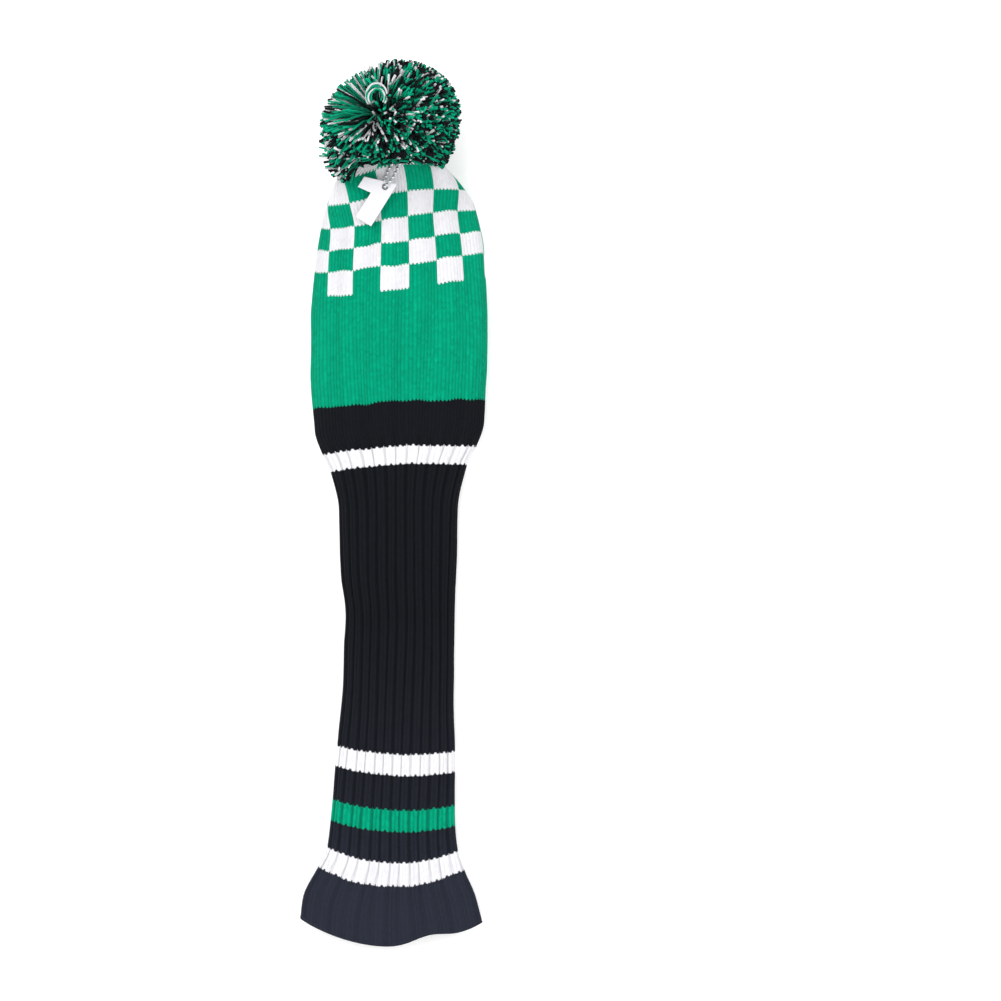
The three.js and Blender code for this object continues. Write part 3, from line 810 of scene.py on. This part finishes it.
def lining():
    """The fine knitted sock inside the head section, closed at the crown."""
    first = COURSES["shoulder_band"][0] + 3
    last = COURSES["checker_band"][1] - 13
    wale, course, base, normal = sleeve_grid(first, last, 2, 2)
    outer = base - normal * (WALL + 1.4)
    inner = base - normal * (WALL + 3.0)
    for points in (outer, inner):
        points[..., 2] = np.maximum(points[..., 2], 3.6)
    end = inner[-1].mean(0)
    closing = np.linspace(1, 0, 7)[1:-1, None, None]
    outward = np.array([0, 1, 0]) * (1 - closing**2) * 3
    dome = [end + (layer[-1] - end) * closing + outward for layer in (outer, inner)]
    outer = np.concatenate([outer, dome[0]])
    inner = np.concatenate([inner, dome[1] - np.array([0, 1.5, 0])])
    rows, columns = outer.shape[:2]
    start = rows * columns
    tips = end + np.array([[0, 3.2, 0], [0, 1.4, 0]])
    points = np.concatenate([outer.reshape(-1, 3), inner.reshape(-1, 3), tips])
    ring = np.arange(columns)
    following = (ring + 1) % columns
    tip = 2 * start
    caps = [fan(start - columns, columns, tip), fan(tip - columns, columns, tip + 1, flip=True)]
    mouth = np.stack([following, ring, start + ring, start + following], -1)
    quads = [tube_faces(rows, columns), tube_faces(rows, columns, start=start, flip=True), mouth]
    faces = [np.concatenate(quads), np.concatenate(caps)]
    piece = mesh_object("head_lining_knit", points, faces)
    set_material(piece, plain_yarn_material("lining_yarn", (0.02, 0.022, 0.028)))
    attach(piece, "head")
    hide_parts("head_lining")


# ---- Pom-pom ----

TIE_LENGTH = 13.5
TIE_TILT = math.radians(26)
TIE_AXIS = np.array([0, math.cos(TIE_TILT), math.sin(TIE_TILT)])
GATHER = np.array([HEM_X + POM_OFFSET, HEM_Y + COURSE_PLACES[-1], GATHER_HEIGHT - GATHER_DEPTH / 2])
HEART = GATHER + TIE_LENGTH * TIE_AXIS
POM_RADIUS = 38.6
STRANDS = 8200
STRAND_RADIUS = 0.6
STRAND_ROOT_SHADE = np.array([0.15, 0.25, 0.5, 0.8, 1.0])  # painted shade: how light a strand's colour is, from its root, shaded inside the ball, to its end
TIP_SHADE = 0.92  # how light a strand's cut end is
STRAND_SHARES = {"green": 0.42, "black": 0.45, "white": 0.13}
PARTING = np.array([-0.31, 0.38, 0.87])  # from the heart, where the strands part
FAN_HEADING = 150  # degrees from +X, where the strands lie over furthest
FULL_HEADING = 30  # degrees from +X, where the ball bulges
FLAT_HEADING = 120  # degrees from +X, where the ball is flatter
HANG = np.array([-0.50, -0.82, -0.28])  # from the heart, where the longest strands hang
HANG_DROP = 4.0
WHITEST = np.array([-0.75, 0.6, 0.25])  # from the heart, where white strands are commonest
FRINGE_BELOW_HEART = 17.5  # where the strands over the crown end
CURL = np.array([-8.2, 230.6, 71.5])  # middle of the loop of loose strands on top
CURL_RADIUS = 4.3
CURL_YARNS = ("green", "white", "green", "white")


def fibonacci_directions(count):
    i = np.arange(count) + 0.5
    z = 1 - 2 * i / count
    turn = i * math.pi * (3 - math.sqrt(5))
    ring = np.sqrt(1 - z * z)
    return np.stack([ring * np.cos(turn), ring * np.sin(turn), z], -1)


def strand_mesh(name, paths, radii, colours, sides=5, fade=None):
    """Tubes along many paths at once. paths is strands by points by 3; radii matches it."""
    count, steps = paths.shape[:2]
    tangent = unit(np.gradient(paths, axis=1))
    helper = np.where(np.abs(tangent[..., 2:]) > 0.9, [[[1.0, 0, 0]]], [[[0, 0, 1.0]]])
    first = unit(np.cross(tangent, helper))
    second = np.cross(tangent, first)
    around = np.arange(sides) / sides * 2 * np.pi
    ring = (
        first[:, :, None] * np.cos(around)[None, None, :, None]
        + second[:, :, None] * np.sin(around)[None, None, :, None]
    )
    body = paths[:, :, None] + ring * radii[:, :, None, None]
    tips = paths[:, -1] + tangent[:, -1] * radii[:, -1:] * 0.35
    per = steps * sides
    points = np.concatenate([body.reshape(count, per, 3), tips[:, None]], axis=1)
    step, side_index = np.meshgrid(np.arange(steps - 1), np.arange(sides), indexing="ij")
    quads = repeated(tube_faces(steps, sides), count, per + 1)
    caps = repeated(fan(per - sides, sides, per), count, per + 1)
    fade = np.ones(steps) if fade is None else fade
    # Painted shade: each strand's colour is scaled by fade along its length, darker towards its root.
    at_corners = np.stack([fade[step], fade[step], fade[step + 1], fade[step + 1]], -1).reshape(1, -1, 1)
    corner = np.concatenate([
        (colours[:, None] * at_corners).reshape(-1, 3),
        np.repeat(colours * TIP_SHADE, sides * 3, axis=0),
    ])
    uvs = strand_uvs(paths, sides, step, side_index)
    return mesh_object(name, points.reshape(-1, 3), [quads, caps], corner, uvs)


def strand_uvs(paths, sides, step, side_index):
    """For each face corner, how far along its strand it is in mm, and how far round."""
    count = len(paths)
    pieces = np.linalg.norm(np.diff(paths, axis=1), axis=2)
    length = np.concatenate([np.zeros((count, 1)), np.cumsum(pieces, axis=1)], axis=1)
    start, end = length[:, step], length[:, step + 1]
    u = np.stack([start, start, end, end], -1).reshape(count, -1)
    round_body = np.stack([side_index, side_index + 1, side_index + 1, side_index], -1)
    v = np.tile(round_body.reshape(1, -1) / sides, (count, 1))
    ring = np.arange(sides)
    round_cap = np.stack([ring, ring + 1, ring + 0.5], -1)
    cap_u = np.repeat(length[:, -1:], sides * 3, axis=1)
    cap_v = np.tile(round_cap.reshape(1, -1) / sides, (count, 1))
    return np.concatenate([
        np.stack([u.ravel(), v.ravel()], -1),
        np.stack([cap_u.ravel(), cap_v.ravel()], -1),
    ])


def strand_paths(rng):
    """Strands spring out of the heart and bend over, away from their parting."""
    aim = unit(fibonacci_directions(STRANDS) + rng.normal(0, 0.05, (STRANDS, 3)))
    aim = aim[aim @ TIE_AXIS > -0.9]
    count = len(aim)
    pole = unit(PARTING)
    cosine = np.clip(aim @ pole, -1, 1)
    polar = np.degrees(np.arccos(cosine))
    outward = unit(aim * cosine[:, None] - pole)
    across = np.cross(aim, outward)
    sideways = aim - pole * cosine[:, None]
    heading = np.degrees(np.arctan2(sideways[:, 1], sideways[:, 0]))
    fan = np.exp(-((((heading - FAN_HEADING + 180) % 360 - 180) / 75) ** 2))
    near = np.clip(1.6 - polar / 55, 0, 1)
    bend = np.radians(4 + (12 + 42 * fan) * near) + rng.normal(0, 0.24, count)
    stray = rng.normal(0, 0.30, count)
    hang = ease((aim @ unit(HANG) - 0.75) / 0.25)
    reach = POM_RADIUS * (0.955 + 0.11 * hang + 0.07 * fan * near)
    reach *= 1 + 0.03 * waves(aim * 20, 12, 12, 26) + rng.normal(0, 0.035, count)
    reach *= 1 - 0.05 * ease((-aim[:, 0] - 0.5) / 0.5)
    steps = np.linspace(0.12, 1, len(STRAND_ROOT_SHADE))[None, :, None]
    turned = np.tan(bend)[:, None] * outward + np.tan(stray)[:, None] * across
    along = unit(aim[:, None] + turned[:, None] * steps**2)
    out = outline(along[:, -1])
    paths = HEART + along * steps * (reach * out)[:, None, None]
    paths += rng.normal(0, 1.2, (count, 1, 3)) * (1 - steps)
    paths[..., 2] -= (HANG_DROP * hang[:, None, None] * steps**2)[..., 0]
    return outside_sleeve(pressed_back(in_ball(paths, hang, out)))


def outline(away):
    """How far strands reach for where they point, as the ball bulges here and is flat there."""
    turn = np.degrees(np.arctan2(away[:, 1], away[:, 0]))
    level = 1 - away[:, 2] ** 2
    fuller = 0.11 * np.exp(-(((turn - FULL_HEADING) / 38) ** 2))
    flatter = 0.095 * np.exp(-(((turn - FLAT_HEADING) / 30) ** 2))
    return 1 + (fuller - flatter) * level


def in_ball(paths, hang, out):
    away = paths - HEART
    distance = np.linalg.norm(away, axis=-1, keepdims=True)
    limit = ((POM_RADIUS + 0.6) * out + HANG_DROP * hang)[:, None, None]
    paths = HEART + away * np.minimum(1, limit / np.maximum(distance, 1e-6))
    paths[..., 2] = np.maximum(paths[..., 2], 1.0)
    return paths


def pressed_back(paths):
    """Strands by the tie are pressed back to the heart, and those over the crown end in line."""
    away = paths - HEART
    along = away @ TIE_AXIS
    radial = away - along[..., None] * TIE_AXIS
    by_tie = -7 - 25 * ease((np.linalg.norm(radial, axis=-1) - 12) / 8)
    paths = paths + np.maximum(by_tie - along, 0)[..., None] * TIE_AXIS
    across = away[..., 0]
    rng = np.random.default_rng(7)
    ragged = 1.3 * np.sin(across * 0.9) + rng.normal(0, 1.3, (len(paths), 1))
    line = HEART[1] - FRINGE_BELOW_HEART + 3 * np.exp(-(((across - 11) / 10) ** 2)) + ragged
    line -= 22 * ease((np.abs(across - 4) - 22) / 14)
    above = GATHER_HEIGHT - np.where(across > -21, 22, 8)
    short = np.maximum(line - paths[..., 1], 0) * (paths[..., 2] > above)
    paths[..., 1] += short * 0.85
    return paths


def outside_sleeve(paths):
    """Strands beside the crown lie on it or under it, and clear of the chain."""
    x, y, z = paths[..., 0], paths[..., 1], paths[..., 2]
    at = y - HEM_Y
    inside = (np.abs(x - HEM_X - side(at)) < half(at) + 0.5) & (at < COURSE_PLACES[-1] + 1.5)
    roof = sleeve_top(x, y) + 1.2 + 3.0 * (np.abs(x - GATHER[0]) < 9)
    below = under(at) - 1.2
    sinks = inside & (z < (roof + below) / 2) & (below > 1.5)
    paths[..., 2] = np.where(sinks, np.minimum(z, below), np.where(inside, np.maximum(z, roof), z))
    return paths


def strand_yarns(paths, rng):
    """White strands are commoner on one side, and black ones opposite."""
    away = unit(paths[:, -1] - HEART)
    slant = away @ unit(WHITEST)
    weights = np.stack([
        np.full(len(away), STRAND_SHARES["green"]),
        STRAND_SHARES["black"] * np.exp(-0.55 * slant),
        STRAND_SHARES["white"] * np.exp(0.9 * slant),
    ], -1)
    weights = np.cumsum(weights / weights.sum(1, keepdims=True), axis=1)
    return (rng.random((len(away), 1)) > weights[:, :2]).sum(1)


def pom_pom():
    rng = np.random.default_rng(11)
    paths = strand_paths(rng)
    count = len(paths)
    thickness = STRAND_RADIUS * np.array([0.7, 0.9, 1.0, 1.03, 1.08])
    radii = thickness[None] * rng.normal(1, 0.1, (count, 1))
    yarn = strand_yarns(paths, rng)
    material = strand_material("pom_pom_yarn")
    for i, name in enumerate(STRAND_SHARES):
        chosen = yarn == i
        colours = np.array(YARNS[name]) * np.clip(rng.normal(0.9, 0.22, (chosen.sum(), 1)), 0.3, 1.25)
        piece = strand_mesh("pom_pom_" + name, paths[chosen], radii[chosen], colours, fade=STRAND_ROOT_SHADE)
        pom_piece(piece, material)
        if name == "green":
            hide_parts("pom_pom")
    curl(material)


def pom_piece(piece, material):
    set_material(piece, material)
    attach(piece, "pom")


def curl(material):
    """Loose strands side by side that curl into a loop on top of the pom-pom."""
    turns = np.radians(np.linspace(-35, 215, 22))
    paths = []
    for i in range(len(CURL_YARNS)):
        radius = CURL_RADIUS + 0.95 * (i - 1) + 0.45 * np.sin(turns * 1.6 + 1.9 * i)
        x, y = radius * np.cos(turns), radius * np.sin(turns) * 1.15
        ring = np.stack([x, y, 0.9 * np.sin(turns * 2 + i)], -1)
        tail = HEART + unit(PARTING + np.array([0.03 * i, 0.0, 0.0])) * (POM_RADIUS - 7)
        lead = CURL + ring[-1] + (tail - CURL - ring[-1]) * np.array([0.35, 0.7, 1.0])[:, None]
        paths.append(np.concatenate([CURL + ring, lead]))
    paths = np.array(paths)
    radii = np.full(paths.shape[:2], STRAND_RADIUS)
    colours = np.array([YARNS[name] for name in CURL_YARNS]) * 0.9
    pom_piece(strand_mesh("pom_pom_curl", paths, radii, colours, sides=7), material)


# ---- Chain and tag ----

CHAIN_LOOP_ABOVE_CROWN = 4.5
CHAIN_LOOP_HALF = 5.6
CHAIN_REACH = 26.1
CHAIN_LEAN = math.radians(-4.3)
CHAIN_CLEARANCE = 1.2
TAG_LIFT = 5.1
TAG_TURN = math.radians(-32.5)
TAG_SLOPE = math.radians(8)
TAG_HALF_THICKNESS = 1.0
TAG_EDGE = 0.25
TAG_HOLE_RADIUS = 1.9
TAG_OUTLINE = [(-5.15, -23.5), (5.15, -23.5), (5.15, 5), (-13.25, -1.5), (-13.25, -8.5), (-5.15, -7.3)]
BEAD_RADIUS = 1.15
BEAD_PITCH = 2.9
LINK_RADIUS = 0.36
CONNECTOR_LENGTH = 7.5
LOOP = GATHER + CHAIN_LOOP_ABOVE_CROWN * np.array([0, 1, math.tan(TIE_TILT)])
HOLE = LOOP + CHAIN_REACH * np.array([math.sin(CHAIN_LEAN), -math.cos(CHAIN_LEAN), 0])
HOLE[2] = sleeve_top(HOLE[0], HOLE[1]) + TAG_LIFT


def chain_line():
    """The points of the chain's closed line, as in the CAD model."""

    def lying(x, y):
        point = HOLE + (x, y, 0)
        point[2] = sleeve_top(point[0], point[1]) + 1 + CHAIN_CLEARANCE
        return point

    w = CHAIN_LOOP_HALF
    clip = CONNECTOR_LENGTH / 2
    rising = [HOLE, HOLE + (1.4, 1.2, 2.9), HOLE + (4.4, 5, 3.6), HOLE + (7, 10, 3.4), lying(9.0, 15)]
    round_tie = [
        (w - 0.8, -3, w - 0.4), (w, 0, w - 3.2), (w, 0, 1 - w), (clip, 0, -w),
        (-clip, 0, -w), (-w, 0, 1 - w), (-w, 0, w - 3.2), (1.4 - w, -3, w),
    ]
    falling = [lying(5, 15.5), lying(2.6, 10.5), lying(0.2, 5.6), HOLE + (-0.8, 1.4, -2.9)]
    return np.array([*rising, *(LOOP + np.array(round_tie)), *falling])


def smooth_loop(points, steps=60):
    """A closed centripetal Catmull-Rom curve through the points."""
    curve = []
    count = len(points)
    t = np.linspace(0, 1, steps, endpoint=False)[:, None]
    for i in range(count):
        a, b, c, d = (points[(i + k) % count] for k in (-1, 0, 1, 2))
        ab, bc, cd = (math.sqrt(np.linalg.norm(q - p)) for p, q in ((a, b), (b, c), (c, d)))
        start = ((b - a) / ab - (c - a) / (ab + bc) + (c - b) / bc) * bc
        end = ((c - b) / bc - (d - b) / (bc + cd) + (d - c) / cd) * bc
        curve.append(
            (2 * t**3 - 3 * t**2 + 1) * b + (t**3 - 2 * t**2 + t) * start
            + (3 * t**2 - 2 * t**3) * c + (t**3 - t**2) * end
        )
    return np.concatenate(curve)


def bead_places():
    curve = smooth_loop(chain_line())
    closed = np.concatenate([curve, curve[:1]])
    reach = reach_along(closed)
    count = round(reach[-1] / BEAD_PITCH)
    wanted = np.arange(count) / count * reach[-1]
    places = np.stack([np.interp(wanted, reach, closed[:, k]) for k in range(3)], -1)
    clip = LOOP - np.array([0, 0, CHAIN_LOOP_HALF])
    clear = np.linalg.norm(places - clip, axis=1) > CONNECTOR_LENGTH / 2 + 0.3 + BEAD_RADIUS
    first = int(np.argmax(~clear))
    order = np.roll(np.arange(count), -first)
    return places[order][clear[order]]


def ball_chain(steel):
    """Round beads joined by thin links, with the connector left to its own node."""
    places = bead_places()
    sides, rings = 16, 9
    around = np.arange(sides) / sides * 2 * np.pi
    upright = np.linspace(-np.pi / 2, np.pi / 2, rings + 2)[1:-1]
    ball = np.stack([
        np.cos(upright)[:, None] * np.cos(around), np.cos(upright)[:, None] * np.sin(around),
        np.sin(upright)[:, None] + np.zeros(sides),
    ], -1).reshape(-1, 3)
    ball = np.concatenate([ball, [[0, 0, -1], [0, 0, 1]]])
    pole = rings * sides
    caps = np.concatenate([fan(0, sides, pole, flip=True), fan(pole - sides, sides, pole + 1)])
    quads = repeated(tube_faces(rings, sides), len(places), len(ball))
    caps = repeated(caps, len(places), len(ball))
    points = (places[:, None] + BEAD_RADIUS * ball[None]).reshape(-1, 3)
    beads = mesh_object("chain_beads", points, [quads, caps])
    paths = np.stack([places[:-1], places[1:]], axis=1)
    radii = np.full(paths.shape[:2], LINK_RADIUS)
    links = strand_mesh("chain_links", paths, radii, np.ones((len(paths), 3)), sides=6)
    for piece in (beads, links):
        set_material(piece, steel)
        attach(piece, "chain")
    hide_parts("ball_chain")


def number_tag():
    curve = bpy.data.curves.new("number_tag", "CURVE")
    curve.dimensions = "2D"
    curve.fill_mode = "BOTH"
    curve.extrude = (TAG_HALF_THICKNESS - TAG_EDGE) * MM
    curve.bevel_depth = TAG_EDGE * MM
    curve.bevel_resolution = 3
    curve.offset = -TAG_EDGE * MM
    around = np.linspace(0, 2 * math.pi, 33)[:-1]
    hole = [(TAG_HOLE_RADIUS * math.cos(a), TAG_HOLE_RADIUS * math.sin(a)) for a in around]
    for ring in (TAG_OUTLINE, hole[::-1]):
        spline = curve.splines.new("POLY")
        spline.points.add(len(ring) - 1)
        for point, (x, y) in zip(spline.points, ring):
            point.co = (x * MM, y * MM, 0, 1)
        spline.use_cyclic_u = True
    holder = bpy.data.objects.new("tag_outline", curve)
    mesh = bpy.data.meshes.new_from_object(holder)
    bpy.data.objects.remove(holder)
    turn = Euler((0, 0, TAG_TURN)).to_matrix() @ Euler((TAG_SLOPE, 0, 0)).to_matrix()
    mesh.transform(Matrix.Translation(Vector(HOLE * MM)) @ turn.to_4x4())
    tag = new_object("number_tag_plate", mesh)
    set_material(tag, tag_material("tag_plastic"))
    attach(tag, "tag")
    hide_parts("number_tag")


def restyle_nodes(frame, steel):
    set_material(frame["nodes"]["chain_connector"], steel)
    black = plain_yarn_material("tie_yarn", YARNS["black"])
    set_material(frame["nodes"]["pom_tie"], black)
    set_material(frame["nodes"]["crown_gather_yarn"], black)


# ---- Stage ----

VIEW_SIDE = 580.6  # width of what the camera sees at the surface, in mm
CAMERA_X = 61.8
CAMERA_Y = HEM_Y + 257.23
CAMERA_HEIGHT = 2600.0
FLOOR_HALF = 4.0  # in metres, as are the lights' places and sizes
# name, place, size, power
LIGHTS = [
    ("key", (-0.9, 0.9, 1.7), 1.8, 30),
    ("fill", (1.3, 0.2, 1.5), 1.8, 12),
    ("low", (0.1, -1.6, 1.1), 1.6, 8),
]
LIT_POINT = Vector((0, 0.05, 0))


def stage():
    scene = bpy.context.scene
    scene.view_settings.view_transform = "Standard"
    overhead_camera(scene)
    pale_floor()
    for light in LIGHTS:
        area_light(*light)
    world = bpy.data.worlds.new("world")
    world.use_nodes = True
    background = world.node_tree.nodes["Background"].inputs
    background["Color"].default_value = (1, 1, 1, 1)
    background["Strength"].default_value = 0.85
    scene.world = world


def overhead_camera(scene):
    camera = bpy.data.cameras.new("camera")
    camera.sensor_width = 36
    camera.lens = 36 * CAMERA_HEIGHT / VIEW_SIDE
    camera.clip_end = 50
    scene.camera = new_object("camera", camera)
    scene.camera.location = (CAMERA_X * MM, CAMERA_Y * MM, CAMERA_HEIGHT * MM)


def pale_floor():
    floor = bpy.data.meshes.new("floor")
    s = FLOOR_HALF
    floor.from_pydata([(-s, -s, 0), (s, -s, 0), (s, s, 0), (-s, s, 0)], [], [(0, 1, 2, 3)])
    floor_object = new_object("floor", floor)
    floor_object.location.z = -0.0002
    n = Nodes("floor")
    set_material(floor_object, n.finish(
        Base_Color=(0.93, 0.93, 0.93, 1.0),
        Roughness=0.9,
        Specular_IOR_Level=0.1,
        Emission_Color=(1.0, 1.0, 1.0, 1.0),
        Emission_Strength=0.22,
    ))


def area_light(name, location, size, power):
    light = bpy.data.lights.new(name, "AREA")
    light.shape = "DISK"
    light.size = size
    light.energy = power
    holder = new_object(name, light)
    holder.location = location
    holder.rotation_euler = (LIT_POINT - Vector(location)).to_track_quat("-Z", "Y").to_euler()


def plain(box):
    return [[float(value) for value in corner] for corner in box]


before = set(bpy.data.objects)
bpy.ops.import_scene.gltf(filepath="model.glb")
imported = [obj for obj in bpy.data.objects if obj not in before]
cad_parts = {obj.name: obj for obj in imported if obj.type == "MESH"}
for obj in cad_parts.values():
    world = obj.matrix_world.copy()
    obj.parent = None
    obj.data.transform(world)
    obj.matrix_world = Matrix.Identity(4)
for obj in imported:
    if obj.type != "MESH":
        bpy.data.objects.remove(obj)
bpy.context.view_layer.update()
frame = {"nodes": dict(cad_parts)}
stage()
sleeve()
pom_pom()
number_tag()
steel = steel_material("nickel_plate")
ball_chain(steel)
restyle_nodes(frame, steel)
